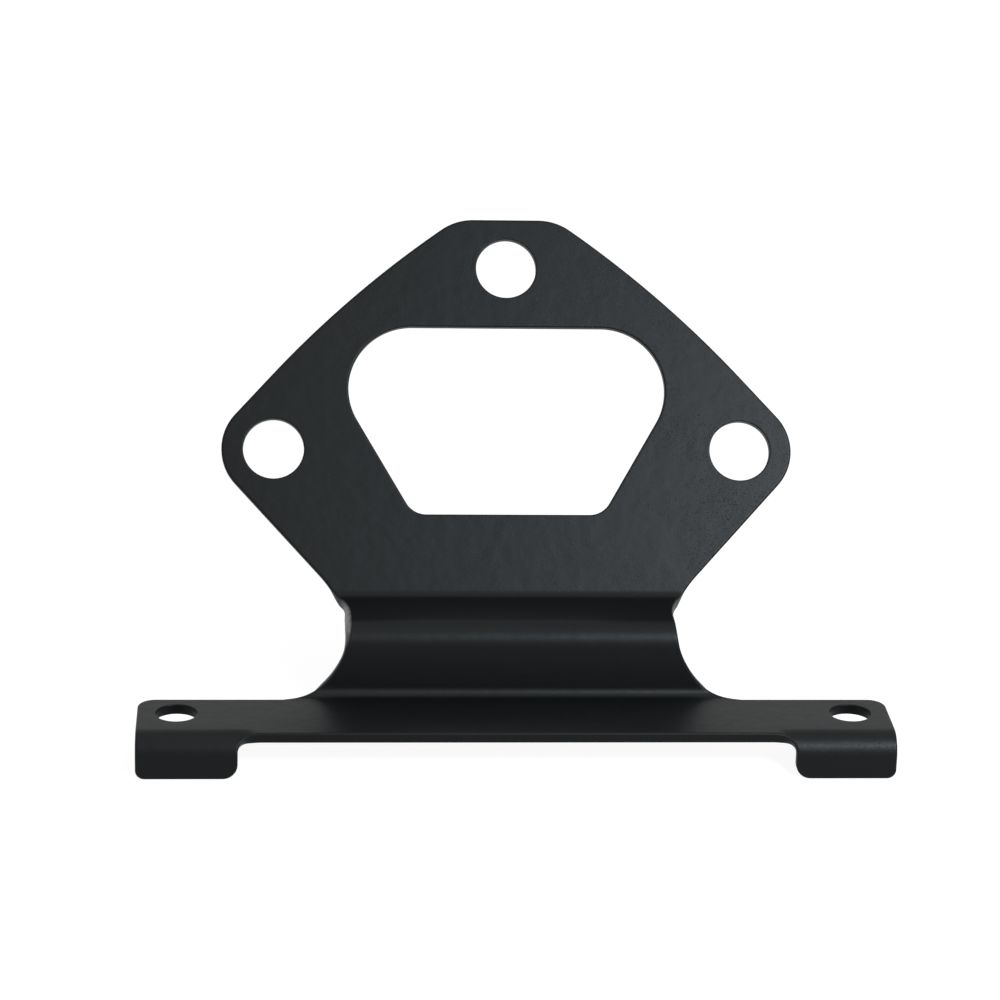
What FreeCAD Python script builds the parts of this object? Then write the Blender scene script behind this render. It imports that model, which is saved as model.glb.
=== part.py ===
import os
import math
import FreeCAD
import Part
import Sketcher

# Headlamp bracket: one steel sheet, folded. Millimetres, Z up.
# Front is -Y. The origin is midway between the two ear holes, on the underside of the shelf.
doc = FreeCAD.newDocument("headlamp_bracket")
sheet = doc.addObject("Spreadsheet::Sheet", "sizes")

values = {
    # the sheet
    "thickness": 2.1,
    "bend_inside": 2.5,
    # the shelf with its two ears, all reaches from the line through the ear holes
    "overall_width": 150.0,
    "shelf_front_reach": 10.2,
    "shelf_back_reach": 6.9,
    "ear_hole_inset": 7.8,
    "ear_hole_diameter": 8.25,
    "ear_corner": 3.5,
    # the two short tabs folded down at the front of the ears
    "tab_face_reach": 12.4,
    "tab_width": 20.0,
    "tab_drop": 8.9,
    "tab_outer_corner": 1.8,
    "tab_inner_corner": 3.0,
    "notch_radius": 2.3,
    "blend_width": 4.5,
    # the step up to the plate
    "ledge_height": 14.4,
    "plate_setback": 17.3,
    "plate_lean": 30.0,
    "waist_width": 65.6,
    "flare_radius": 18.8,
    "flare_level": 18.0,
    "throat_radius": 22.5,
    # the plate, heights measured up its front face from the ledge
    "plate_height": 79.4,
    "side_hole_spacing": 96.4,
    "side_hole_height": 30.6,
    "top_hole_drop": 10.4,
    "plate_hole_diameter": 12.5,
    "lobe_radius": 10.7,
    "side_slope": 42.3,
    "shoulder_start": 46.1,
    "shoulder_radius": 220.0,
    "top_corner": 11.5,
    # the window in the plate
    "window_foot": 17.0,
    "window_head": 56.5,
    "window_width": 65.6,
    "window_shoulder": 13.2,
    "window_slope": 30.2,
    "window_foot_corner": 4.8,
    # how far the cutting shapes reach past the metal
    "cut_clearance": 15.0,
}
for row, name in enumerate(values, start=1):
    sheet.set("A" + str(row), name)
    sheet.set("B" + str(row), str(values[name]))
    sheet.setAlias("B" + str(row), name)
doc.recompute()


def size(name):
    """The number in the sheet's cell of that name."""
    return float(sheet.get(name))


t = size("thickness")
inner = size("bend_inside")
outer = inner + t
lean = math.radians(size("plate_lean"))
webFront = size("shelf_back_reach") + inner
ledgeTop = t + size("ledge_height")
cornerY = webFront + size("plate_setback")
run = inner * math.tan((math.pi / 2 - lean) / 2)
halfWidth = size("overall_width") / 2
clearance = size("cut_clearance")

body = doc.addObject("PartDesign::Body", "bracket_body")
body.Label = "bracket body"


def originPlane(role):
    """The body's own origin plane with that role."""
    return [item for item in body.Origin.OriginFeatures if item.Role == role][0]


def sketchOn(name, support):
    """A new sketch lying flat on the given plane."""
    sketch = body.newObject("Sketcher::SketchObject", name)
    sketch.Label = name.replace("_", " ")
    sketch.AttachmentSupport = (support, [""])
    sketch.MapMode = "FlatFace"
    return sketch


def vec(x, y):
    return FreeCAD.Vector(x, y, 0)


def line(sketch, a, b):
    return sketch.addGeometry(Part.LineSegment(vec(*a), vec(*b)), False)


def arc(sketch, centre, radius, start, end):
    """A counter-clockwise arc between two angles in degrees."""
    circle = Part.Circle(vec(*centre), FreeCAD.Vector(0, 0, 1), radius)
    return sketch.addGeometry(Part.ArcOfCircle(circle, math.radians(start), math.radians(end)), False)


def tie(sketch, kind, *items):
    return sketch.addConstraint(Sketcher.Constraint(kind, *items))


def arcEnds(side):
    """Which ends of a left or right arc are its lower and its upper one on the sketch."""
    return (1, 2) if side > 0 else (2, 1)


def measure(sketch, name, expression, kind, *items):
    """A named measurement driven by the sheet."""
    index = tie(sketch, kind, *items)
    sketch.renameConstraint(index, name)
    sketch.setExpression("Constraints." + name, expression)
    return index


# 1. The fold seen from the side: shelf, web, ledge and leaning plate, padded to the full width
fold = sketchOn("side_fold", originPlane("YZ_Plane"))
frontEdge = -size("shelf_front_reach")
backLine = size("shelf_back_reach")
leanDegrees = size("plate_lean")
up = (math.sin(lean), math.cos(lean))
out = (-math.cos(lean), math.sin(lean))
bendTwo = (webFront + outer, ledgeTop - outer)
bendOne = (cornerY - run, ledgeTop + inner)
plateFoot = (bendOne[0] - out[0] * inner, bendOne[1] - out[1] * inner)
plateBackFoot = (bendOne[0] - out[0] * outer, bendOne[1] - out[1] * outer)
plateTop = (cornerY + up[0] * size("plate_height"), ledgeTop + up[1] * size("plate_height"))
plateBackTop = (plateTop[0] - out[0] * t, plateTop[1] - out[1] * t)

shelfTop = line(fold, (frontEdge, t), (backLine, t))
threeIn = arc(fold, (backLine, t + inner), inner, 270, 360)
webFace = line(fold, (webFront, t + inner), (webFront, bendTwo[1]))
twoOut = arc(fold, bendTwo, outer, 90, 180)
ledgeFace = line(fold, (bendTwo[0], ledgeTop), (bendOne[0], ledgeTop))
oneIn = arc(fold, bendOne, inner, 270, 360 - leanDegrees)
plateFace = line(fold, plateFoot, plateTop)
plateEnd = line(fold, plateTop, plateBackTop)
plateBack = line(fold, plateBackTop, plateBackFoot)
oneOut = arc(fold, bendOne, outer, 270, 360 - leanDegrees)
ledgeUnder = line(fold, (bendOne[0], ledgeTop - t), (bendTwo[0], ledgeTop - t))
twoIn = arc(fold, bendTwo, inner, 90, 180)
webBack = line(fold, (webFront + t, bendTwo[1]), (webFront + t, t + inner))
threeOut = arc(fold, (backLine, t + inner), outer, 270, 360)
shelfUnder = line(fold, (backLine, 0), (frontEdge, 0))
shelfEnd = line(fold, (frontEdge, 0), (frontEdge, t))

for first, firstEnd, second, secondEnd in (
    (shelfTop, 2, threeIn, 1), (threeIn, 2, webFace, 1), (webFace, 2, twoOut, 2),
    (twoOut, 1, ledgeFace, 1), (ledgeFace, 2, oneIn, 1), (oneIn, 2, plateFace, 1),
    (plateBack, 2, oneOut, 2), (oneOut, 1, ledgeUnder, 1), (ledgeUnder, 2, twoIn, 1),
    (twoIn, 2, webBack, 1), (webBack, 2, threeOut, 2), (threeOut, 1, shelfUnder, 1),
):
    tie(fold, "Tangent", first, firstEnd, second, secondEnd)
for first, firstEnd, second, secondEnd in (
    (plateFace, 2, plateEnd, 1), (plateEnd, 2, plateBack, 1),
    (shelfUnder, 2, shelfEnd, 1), (shelfEnd, 2, shelfTop, 1),
):
    tie(fold, "Coincident", first, firstEnd, second, secondEnd)
for first, second in ((threeIn, threeOut), (twoIn, twoOut), (oneIn, oneOut)):
    tie(fold, "Coincident", first, 3, second, 3)
tie(fold, "Horizontal", shelfTop)
tie(fold, "Vertical", webFace)
tie(fold, "Horizontal", ledgeFace)
tie(fold, "Vertical", shelfEnd)
tie(fold, "Horizontal", shelfUnder)
tie(fold, "Perpendicular", plateFace, plateEnd)
tie(fold, "Parallel", plateFace, plateBack)
tie(fold, "PointOnObject", shelfUnder, 2, -1)
measure(fold, "thickness", "sizes.thickness", "Distance", shelfEnd, t)
for name, item in (("inner_three", threeIn), ("inner_two", twoIn), ("inner_one", oneIn)):
    measure(fold, name, "sizes.bend_inside", "Radius", item, inner)
for name, item in (("outer_two", twoOut), ("outer_one", oneOut)):
    measure(fold, name, "sizes.bend_inside + sizes.thickness", "Radius", item, outer)
measure(fold, "front_reach", "sizes.shelf_front_reach", "DistanceX", shelfEnd, 1, -1, 1, -frontEdge)
measure(fold, "back_reach", "sizes.shelf_back_reach", "DistanceX", -1, 1, threeIn, 3, backLine)
measure(fold, "ledge", "sizes.ledge_height + sizes.thickness", "DistanceY", -1, 1, ledgeFace, 1, ledgeTop)
measure(fold, "bend_one_place",
        "sizes.shelf_back_reach + sizes.bend_inside + sizes.plate_setback"
        " - sizes.bend_inside * tan((90 - sizes.plate_lean) / 2 * 1 deg)",
        "DistanceX", -1, 1, oneIn, 3, bendOne[0])
measure(fold, "lean", "(90 - sizes.plate_lean) * 1 deg", "Angle", plateFace, math.pi / 2 - lean)
measure(fold, "plate_length",
        "sizes.plate_height - sizes.bend_inside * tan((90 - sizes.plate_lean) / 2 * 1 deg)",
        "Distance", plateFace, size("plate_height") - run)
doc.recompute()

blank = body.newObject("PartDesign::Pad", "folded_strip")
blank.Profile = fold
blank.Midplane = True
blank.setExpression("Length", "sizes.overall_width")
doc.recompute()

# 2. The plane of the plate's front face, with its origin on the ledge corner
face = body.newObject("PartDesign::Plane", "plate_plane")
face.AttachmentSupport = (originPlane("XZ_Plane"), [""])
face.MapMode = "FlatFace"
turn = FreeCAD.Rotation(FreeCAD.Vector(1, 0, 0), -leanDegrees)
face.AttachmentOffset = FreeCAD.Placement(FreeCAD.Vector(0, ledgeTop, -cornerY), turn)
face.setExpression("AttachmentOffset.Rotation.Angle", "-sizes.plate_lean * 1 deg")
face.setExpression("AttachmentOffset.Base.y", "sizes.ledge_height + sizes.thickness")
face.setExpression("AttachmentOffset.Base.z",
                   "-(sizes.shelf_back_reach + sizes.bend_inside + sizes.plate_setback)")
doc.recompute()

# 3. The plate's outline: straight lower sides, lobes round the side holes, bowed upper sides
slope = math.radians(size("side_slope"))
holeX = size("side_hole_spacing") / 2
holeV = size("side_hole_height")
lobe = size("lobe_radius")
along = (math.sin(slope), math.cos(slope))
lowTouch = (holeX + lobe * along[1], holeV - lobe * along[0])
highTouch = (holeX + lobe * along[1], holeV + lobe * along[0])
waist = size("waist_width") / 2
throat = size("throat_radius")
cornerV = lowTouch[1] - (lowTouch[0] - waist) / math.tan(slope)
throatRun = throat * math.tan(slope / 2)
throatEnd = (waist + throatRun * along[0], cornerV + throatRun * along[1])
shoulderV = size("shoulder_start")
shoulder = (highTouch[0] - (shoulderV - highTouch[1]) * math.tan(slope), shoulderV)
bow = size("shoulder_radius")
bowCentre = (shoulder[0] - bow * along[1], shoulder[1] - bow * along[0])
plateV = size("plate_height")
cap = size("top_corner")
capCentre = (bowCentre[0] + math.sqrt((bow - cap) ** 2 - (plateV - cap - bowCentre[1]) ** 2), plateV - cap)
capAngle = math.degrees(math.atan2(capCentre[1] - bowCentre[1], capCentre[0] - bowCentre[0]))
capStart = (capCentre[0] + cap * math.cos(math.radians(capAngle)),
            capCentre[1] + cap * math.sin(math.radians(capAngle)))
clear = halfWidth + clearance
high = plateV + clearance
slopeDegrees = size("side_slope")

trim = sketchOn("plate_outline", face)
sides = {}
for side in (1, -1):
    lower = line(trim, (side * throatEnd[0], throatEnd[1]), (side * lowTouch[0], lowTouch[1]))
    if side > 0:
        round1 = arc(trim, (holeX, holeV), lobe, -slopeDegrees, slopeDegrees)
        round2 = arc(trim, bowCentre, bow, slopeDegrees, capAngle)
        round3 = arc(trim, capCentre, cap, capAngle, 90)
    else:
        round1 = arc(trim, (-holeX, holeV), lobe, 180 - slopeDegrees, 180 + slopeDegrees)
        round2 = arc(trim, (-bowCentre[0], bowCentre[1]), bow, 180 - capAngle, 180 - slopeDegrees)
        round3 = arc(trim, (-capCentre[0], capCentre[1]), cap, 90, 180 - capAngle)
    first, last = arcEnds(side)
    upper = line(trim, (side * highTouch[0], highTouch[1]), (side * shoulder[0], shoulder[1]))
    tie(trim, "Tangent", lower, 2, round1, first)
    tie(trim, "Tangent", round1, last, upper, 1)
    tie(trim, "Tangent", upper, 2, round2, first)
    tie(trim, "Tangent", round2, last, round3, first)
    foot = line(trim, (side * throatEnd[0], throatEnd[1]), (side * clear, throatEnd[1]))
    wall = line(trim, (side * clear, throatEnd[1]), (side * clear, high))
    tie(trim, "Coincident", lower, 1, foot, 1)
    tie(trim, "Coincident", foot, 2, wall, 1)
    tie(trim, "Horizontal", foot)
    tie(trim, "Vertical", wall)
    sides[side] = (lower, round1, upper, round2, round3, foot, wall, last)
top = line(trim, (-capCentre[0], plateV), (capCentre[0], plateV))
lid = line(trim, (-clear, high), (clear, high))
tie(trim, "Tangent", sides[-1][4], sides[-1][7], top, 1)
tie(trim, "Tangent", sides[1][4], sides[1][7], top, 2)
tie(trim, "Coincident", sides[-1][6], 2, lid, 1)
tie(trim, "Coincident", sides[1][6], 2, lid, 2)
tie(trim, "Horizontal", top)
tie(trim, "Horizontal", lid)
for side, word in ((1, "right"), (-1, "left")):
    lower, round1, upper, round2, round3, foot, wall, last = sides[side]
    ends = (-1, 1, round1, 3) if side > 0 else (round1, 3, -1, 1)
    measure(trim, "hole_x_" + word, "sizes.side_hole_spacing / 2", "DistanceX", *ends, holeX)
    measure(trim, "hole_v_" + word, "sizes.side_hole_height", "DistanceY", -1, 1, round1, 3, holeV)
    measure(trim, "lobe_" + word, "sizes.lobe_radius", "Radius", round1, lobe)
    measure(trim, "bow_" + word, "sizes.shoulder_radius", "Radius", round2, bow)
    measure(trim, "cap_" + word, "sizes.top_corner", "Radius", round3, cap)
    measure(trim, "bow_start_" + word, "sizes.shoulder_start", "DistanceY", -1, 1, upper, 2, shoulderV)
    sign = "(90 - sizes.side_slope)" if side > 0 else "(90 + sizes.side_slope)"
    value = math.pi / 2 - side * slope
    measure(trim, "lower_slope_" + word, sign + " * 1 deg", "Angle", lower, value)
    sign = "(90 + sizes.side_slope)" if side > 0 else "(90 - sizes.side_slope)"
    value = math.pi / 2 + side * slope
    measure(trim, "upper_slope_" + word, sign + " * 1 deg", "Angle", upper, value)
    measure(trim, "throat_end_" + word,
            "(sizes.waist_width / 2 + sizes.throat_radius * tan(sizes.side_slope / 2 * 1 deg)"
            " * sin(sizes.side_slope * 1 deg))",
            "DistanceX", *((-1, 1, lower, 1) if side > 0 else (lower, 1, -1, 1)), throatEnd[0])
    measure(trim, "clear_" + word, "sizes.overall_width / 2 + sizes.cut_clearance",
            "DistanceX", *((-1, 1, wall, 1) if side > 0 else (wall, 1, -1, 1)), clear)
measure(trim, "plate_height", "sizes.plate_height", "DistanceY", -1, 1, top, 1, plateV)
measure(trim, "lid_height", "sizes.plate_height + sizes.cut_clearance","DistanceY", -1, 1, lid, 1, high)
doc.recompute()

outline = body.newObject("PartDesign::Pocket", "plate_trim")
outline.Profile = trim
outline.Type = "ThroughAll"
doc.recompute()

# 4. The window, with big shoulders and small feet
shoulderR = size("window_shoulder")
footR = size("window_foot_corner")
windowSlope = math.radians(size("window_slope"))
windowDegrees = size("window_slope")
footV = size("window_foot")
headV = size("window_head")
shoulderX = size("window_width") / 2 - shoulderR
shoulderC = (shoulderX, headV - shoulderR)
sideTop = (shoulderC[0] + shoulderR * math.cos(windowSlope), shoulderC[1] - shoulderR * math.sin(windowSlope))
footCv = footV + footR
footCx = sideTop[0] - (sideTop[1] - footCv) * math.tan(windowSlope) - footR / math.cos(windowSlope)
sideFoot = (footCx + footR * math.cos(windowSlope), footCv - footR * math.sin(windowSlope))

pane = sketchOn("window_outline", face)
head = line(pane, (-shoulderC[0], headV), (shoulderC[0], headV))
sill = line(pane, (-footCx, footV), (footCx, footV))
for side, word in ((1, "right"), (-1, "left")):
    jamb = line(pane, (side * sideTop[0], sideTop[1]), (side * sideFoot[0], sideFoot[1]))
    if side > 0:
        bigC = arc(pane, shoulderC, shoulderR, -windowDegrees, 90)
        smallC = arc(pane, (footCx, footCv), footR, 270, 360 - windowDegrees)
    else:
        bigC = arc(pane, (-shoulderC[0], shoulderC[1]), shoulderR, 90, 180 + windowDegrees)
        smallC = arc(pane, (-footCx, footCv), footR, 180 + windowDegrees, 270)
    last, first = arcEnds(side)
    tie(pane, "Tangent", head, first, bigC, first)
    tie(pane, "Tangent", bigC, last, jamb, 1)
    tie(pane, "Tangent", jamb, 2, smallC, first)
    tie(pane, "Tangent", smallC, last, sill, first)
    measure(pane, "shoulder_" + word, "sizes.window_shoulder", "Radius", bigC, shoulderR)
    measure(pane, "foot_" + word, "sizes.window_foot_corner", "Radius", smallC, footR)
    ends = (-1, 1, bigC, 3) if side > 0 else (bigC, 3, -1, 1)
    measure(pane, "half_width_" + word, "sizes.window_width / 2 - sizes.window_shoulder",
            "DistanceX", *ends, shoulderC[0])
    sign = "-(90 + sizes.window_slope)" if side > 0 else "-(90 - sizes.window_slope)"
    measure(pane, "jamb_" + word, sign + " * 1 deg", "Angle", jamb, -math.pi / 2 - side * windowSlope)
tie(pane, "Horizontal", head)
tie(pane, "Horizontal", sill)
measure(pane, "head", "sizes.window_head", "DistanceY", -1, 1, head, 1, headV)
measure(pane, "sill", "sizes.window_foot", "DistanceY", -1, 1, sill, 1, footV)
doc.recompute()

window = body.newObject("PartDesign::Pocket", "window")
window.Profile = pane
window.Type = "ThroughAll"
doc.recompute()

# 5. The three round holes of the plate
topV = plateV - size("top_hole_drop")
drill = sketchOn("plate_holes", face)
plateHoleR = size("plate_hole_diameter") / 2
for word, x, v, wide, tall in (
    ("top", 0, topV, None, "sizes.plate_height - sizes.top_hole_drop"),
    ("left", -holeX, holeV, "sizes.side_hole_spacing / 2", "sizes.side_hole_height"),
    ("right", holeX, holeV, "sizes.side_hole_spacing / 2", "sizes.side_hole_height"),
):
    ring = drill.addGeometry(Part.Circle(vec(x, v), FreeCAD.Vector(0, 0, 1), plateHoleR), False)
    measure(drill, "radius_" + word, "sizes.plate_hole_diameter / 2", "Radius", ring, plateHoleR)
    measure(drill, "height_" + word, tall, "DistanceY", -1, 1, ring, 3, v)
    if wide is None:
        tie(drill, "PointOnObject", ring, 3, -2)
    else:
        ends = (-1, 1, ring, 3) if x > 0 else (ring, 3, -1, 1)
        measure(drill, "reach_" + word, wide, "DistanceX", *ends, abs(x))
doc.recompute()

plateHoles = body.newObject("PartDesign::Pocket", "plate_hole_cuts")
plateHoles.Profile = drill
plateHoles.Type = "ThroughAll"
doc.recompute()

# 6. The ears: the flat stops short at the front so that a tab can be folded there
tabIn = halfWidth - size("tab_width")
tabFace = -size("tab_face_reach")
tabLine = tabFace + outer
ears = sketchOn("ear_front", originPlane("XY_Plane"))
for side, word in ((1, "right"), (-1, "left")):
    a = (side * tabIn, tabLine)
    b = (side * (halfWidth + 5), tabLine)
    c = (side * (halfWidth + 5), frontEdge - 5)
    d = (side * tabIn, frontEdge - 5)
    lines = [line(ears, a, b), line(ears, b, c), line(ears, c, d), line(ears, d, a)]
    for i in range(4):
        tie(ears, "Coincident", lines[i], 2, lines[(i + 1) % 4], 1)
    tie(ears, "Horizontal", lines[0])
    tie(ears, "Horizontal", lines[2])
    tie(ears, "Vertical", lines[1])
    tie(ears, "Vertical", lines[3])
    ends = (-1, 1, lines[0], 1) if side > 0 else (lines[0], 1, -1, 1)
    measure(ears, "inside_" + word, "sizes.overall_width / 2 - sizes.tab_width",
            "DistanceX", *ends, tabIn)
    ends = (-1, 1, lines[1], 1) if side > 0 else (lines[1], 1, -1, 1)
    measure(ears, "outside_" + word, "sizes.overall_width / 2 + 5", "DistanceX", *ends, halfWidth + 5)
    measure(ears, "bend_line_" + word,
            "sizes.tab_face_reach - sizes.bend_inside - sizes.thickness",
            "DistanceY", lines[0], 1, -1, 1, -tabLine)
    measure(ears, "front_" + word, "sizes.shelf_front_reach + 5",
            "DistanceY", lines[2], 1, -1, 1, 5 - frontEdge)
doc.recompute()

earCut = body.newObject("PartDesign::Pocket", "ear_front_cut")
earCut.Profile = ears
earCut.Midplane = True
earCut.setExpression("Length", "4 * sizes.thickness")
doc.recompute()

# 7. The tabs, folded down
tabSketch = sketchOn("tab_fold", originPlane("YZ_Plane"))
tabSketch.AttachmentOffset = FreeCAD.Placement(FreeCAD.Vector(0, 0, tabIn), FreeCAD.Rotation())
tabSketch.setExpression("AttachmentOffset.Base.z", "sizes.overall_width / 2 - sizes.tab_width")
tabFoot = t - size("tab_drop")
tabOut = arc(tabSketch, (tabLine, t - outer), outer, 90, 180)
tabFront = line(tabSketch, (tabFace, t - outer), (tabFace, tabFoot))
tabEnd = line(tabSketch, (tabFace, tabFoot), (tabFace + t, tabFoot))
tabBack = line(tabSketch, (tabFace + t, tabFoot), (tabFace + t, t - outer))
tabInner = arc(tabSketch, (tabLine, t - outer), inner, 90, 180)
tabRoot = line(tabSketch, (tabLine, 0), (tabLine, t))
tie(tabSketch, "Tangent", tabOut, 2, tabFront, 1)
tie(tabSketch, "Coincident", tabFront, 2, tabEnd, 1)
tie(tabSketch, "Coincident", tabEnd, 2, tabBack, 1)
tie(tabSketch, "Tangent", tabBack, 2, tabInner, 2)
tie(tabSketch, "Coincident", tabInner, 1, tabRoot, 1)
tie(tabSketch, "Coincident", tabRoot, 2, tabOut, 1)
tie(tabSketch, "Coincident", tabOut, 3, tabInner, 3)
tie(tabSketch, "Vertical", tabFront)
tie(tabSketch, "Horizontal", tabEnd)
tie(tabSketch, "Vertical", tabRoot)
measure(tabSketch, "tab_outer", "sizes.bend_inside + sizes.thickness", "Radius", tabOut, outer)
measure(tabSketch, "tab_inner", "sizes.bend_inside", "Radius", tabInner, inner)
measure(tabSketch, "tab_face", "sizes.tab_face_reach", "DistanceX", tabFront, 1, -1, 1, -tabFace)
measure(tabSketch, "tab_foot", "sizes.tab_drop - sizes.thickness", "DistanceY", tabEnd, 1, -1, 1, -tabFoot)
measure(tabSketch, "tab_level", "sizes.thickness", "DistanceY", -1, 1, tabRoot, 2, t)
tie(tabSketch, "Vertical", tabRoot, 2, tabOut, 3)
doc.recompute()

tab = body.newObject("PartDesign::Pad", "tab")
tab.Profile = tabSketch
tab.setExpression("Length", "sizes.tab_width")
doc.recompute()
mirrored = body.newObject("PartDesign::Mirrored", "tab_other_side")
mirrored.Originals = [tab]
mirrored.MirrorPlane = (originPlane("YZ_Plane"), [""])
body.Tip = mirrored
doc.recompute()

# 8. The two ear holes
earHoles = sketchOn("ear_holes", originPlane("XY_Plane"))
earHoleX = halfWidth - size("ear_hole_inset")
earHoleR = size("ear_hole_diameter") / 2
for side, word in ((1, "right"), (-1, "left")):
    ring = earHoles.addGeometry(Part.Circle(vec(side * earHoleX, 0), FreeCAD.Vector(0, 0, 1), earHoleR), False)
    measure(earHoles, "radius_" + word, "sizes.ear_hole_diameter / 2", "Radius", ring, earHoleR)
    ends = (-1, 1, ring, 3) if side > 0 else (ring, 3, -1, 1)
    measure(earHoles, "reach_" + word, "sizes.overall_width / 2 - sizes.ear_hole_inset","DistanceX", *ends, earHoleX)
    tie(earHoles, "PointOnObject", ring, 3, -1)
doc.recompute()
earDrill = body.newObject("PartDesign::Pocket", "ear_hole_cuts")
earDrill.Profile = earHoles
earDrill.Midplane = True
earDrill.setExpression("Length", "4 * sizes.thickness")
doc.recompute()

# 9. The corners of the tabs' lower edges
def edgesAt(shape, test):
    """Names of the straight edges whose middle passes the test."""
    names = []
    for number, edge in enumerate(shape.Edges, start=1):
        middle = edge.CenterOfMass
        if len(edge.Vertexes) == 2 and test(edge, middle):
            names.append("Edge" + str(number))
    return names


def tabCorner(x):
    return lambda edge, m: (abs(abs(m.x) - x) < 0.01 and abs(m.z - tabFoot) < 0.01
                            and abs(edge.Length - t) < 0.01)


outerCorners = body.newObject("PartDesign::Fillet", "tab_outer_corners")
outerCorners.Base = (earDrill, edgesAt(earDrill.Shape, tabCorner(halfWidth)))
outerCorners.setExpression("Radius", "sizes.tab_outer_corner")
doc.recompute()
innerCorners = body.newObject("PartDesign::Fillet", "tab_inner_corners")
innerCorners.Base = (outerCorners, edgesAt(outerCorners.Shape, tabCorner(tabIn)))
innerCorners.setExpression("Radius", "sizes.tab_inner_corner")
body.Tip = innerCorners
doc.recompute()

# 10. The waist: an outline known on the flat blank, wrapped round the three bends.
# Along the blank, s is measured on the middle of the sheet from the ears' back line.
middle = inner + t / 2
webRun = size("ledge_height") - outer - inner
ledgeRun = size("plate_setback") - outer - run
marks = [0, middle * math.pi / 2]
marks.append(marks[-1] + webRun)
marks.append(marks[-1] + middle * math.pi / 2)
marks.append(marks[-1] + ledgeRun)
marks.append(marks[-1] + middle * (math.pi / 2 - lean))


def onSheet(s, depth):
    """Side view place of the blank's point s, at a depth below the front face."""
    if s <= marks[0]:
        return backLine + s, t - depth
    if s <= marks[1]:
        turn = s / middle
        reach = inner + depth
        return backLine + reach * math.sin(turn), t + inner - reach * math.cos(turn)
    if s <= marks[2]:
        return webFront + depth, t + inner + s - marks[1]
    if s <= marks[3]:
        turn = (s - marks[2]) / middle
        reach = outer - depth
        return bendTwo[0] - reach * math.cos(turn), bendTwo[1] + reach * math.sin(turn)
    if s <= marks[4]:
        return bendTwo[0] + s - marks[3], ledgeTop - depth
    if s <= marks[5]:
        turn = (s - marks[4]) / middle
        reach = inner + depth
        return bendOne[0] + reach * math.sin(turn), bendOne[1] - reach * math.cos(turn)
    far = s - marks[5]
    foot = (bendOne[0] - out[0] * (inner + depth), bendOne[1] - out[1] * (inner + depth))
    return foot[0] + up[0] * far, foot[1] + up[1] * far


flare = size("flare_radius")
flareLevel = size("flare_level")
throatLevel = marks[5] - run + cornerV - throatRun
lastLevel = marks[5] - run + throatEnd[1]


def halfWaist(s):
    """Half the blank's width at s, from the ears' back line to the plate's straight sides."""
    if s < flareLevel:
        return waist + flare - math.sqrt(flare ** 2 - (flareLevel - s) ** 2)
    if s < throatLevel:
        return waist
    return waist + throat - math.sqrt(throat ** 2 - (s - throatLevel) ** 2)


def rim(levels, depth):
    points = []
    for s in levels:
        y, z = onSheet(s, depth)
        points.append(FreeCAD.Vector(halfWaist(s), y, z))
    curve = Part.BSplineCurve()
    curve.interpolate(points)
    return curve.toShape()


# one cutter for each stretch between the bends and the outline's own joins
stops = sorted(marks[:6] + [flareLevel, throatLevel, lastLevel])
cutters = []
margin = 1.0
for start, stop in zip(stops[:-1], stops[1:]):
    count = max(4, int((stop - start) * 2))
    levels = [start + (stop - start) * i / count for i in range(count + 1)]
    band = Part.makeRuledSurface(rim(levels, -margin), rim(levels, t + margin))
    cutters.append(band.extrude(FreeCAD.Vector(halfWidth + clearance, 0, 0)))
waistCut = doc.addObject("Part::Feature", "waist_cut")
waistCut.Shape = cutters[0].multiFuse(cutters[1:])
doc.recompute()

bracketShape = body.Shape
for cutter in cutters:
    other = cutter.mirror(FreeCAD.Vector(0, 0, 0), FreeCAD.Vector(1, 0, 0))
    bracketShape = bracketShape.cut(cutter).cut(other)

# 11. Beside each tab the fold fades out into the flat shelf, round the notch corner
notch = size("notch_radius")
fade = size("blend_width")
tabRise = tabLine - frontEdge


def fadeSection(x):
    """The sheet cut by a plane across the shelf, where the fold has only partly formed."""
    share = (x - (tabIn - fade)) / fade
    share = max(0.004, share * share * (3 - 2 * share))
    radius = middle / share
    if x > tabIn - notch:
        reach = tabRise + notch - math.sqrt(max(0.0, notch ** 2 - (x - tabIn + notch) ** 2))
    else:
        reach = tabRise
    angle = reach / radius

    def place(a, r):
        return FreeCAD.Vector(x, tabLine - r * math.sin(a), t / 2 - radius + r * math.cos(a))

    topArc = [place(angle * i / 2, radius + t / 2) for i in range(3)]
    lowArc = [place(angle * i / 2, radius - t / 2) for i in range(3)]
    edges = [
        Part.Arc(*topArc).toShape(),
        Part.LineSegment(topArc[2], lowArc[2]).toShape(),
        Part.Arc(lowArc[2], lowArc[1], lowArc[0]).toShape(),
        Part.LineSegment(lowArc[0], topArc[0]).toShape(),
    ]
    return Part.Wire(edges)


count = 16
places = [tabIn - fade + fade * math.sin(math.pi / 2 * i / count) for i in range(count + 1)]
fading = Part.makeLoft([fadeSection(x) for x in places], True, True)
fadingOther = fading.mirror(FreeCAD.Vector(0, 0, 0), FreeCAD.Vector(1, 0, 0))
room = Part.makeBox(fade, 10, 4 * t, FreeCAD.Vector(tabIn - fade, tabLine - 10, -t))
roomOther = room.mirror(FreeCAD.Vector(0, 0, 0), FreeCAD.Vector(1, 0, 0))
bracketShape = bracketShape.cut(room).cut(roomOther).fuse([fading, fadingOther])

# 12. The ears' back corners
corners = [edge for edge in bracketShape.Edges
           if abs(abs(edge.CenterOfMass.x) - halfWidth) < 0.01
           and abs(edge.CenterOfMass.y - backLine) < 0.01 and abs(edge.Length - t) < 0.01]
bracketShape = bracketShape.makeFillet(size("ear_corner"), corners)
if bracketShape.ShapeType != "Solid":
    bracketShape = bracketShape.Solids[0]

bracket = doc.addObject("Part::Feature", "headlamp_bracket")
bracket.Label = "headlamp bracket"
bracket.Shape = bracketShape
doc.recompute()

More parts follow.
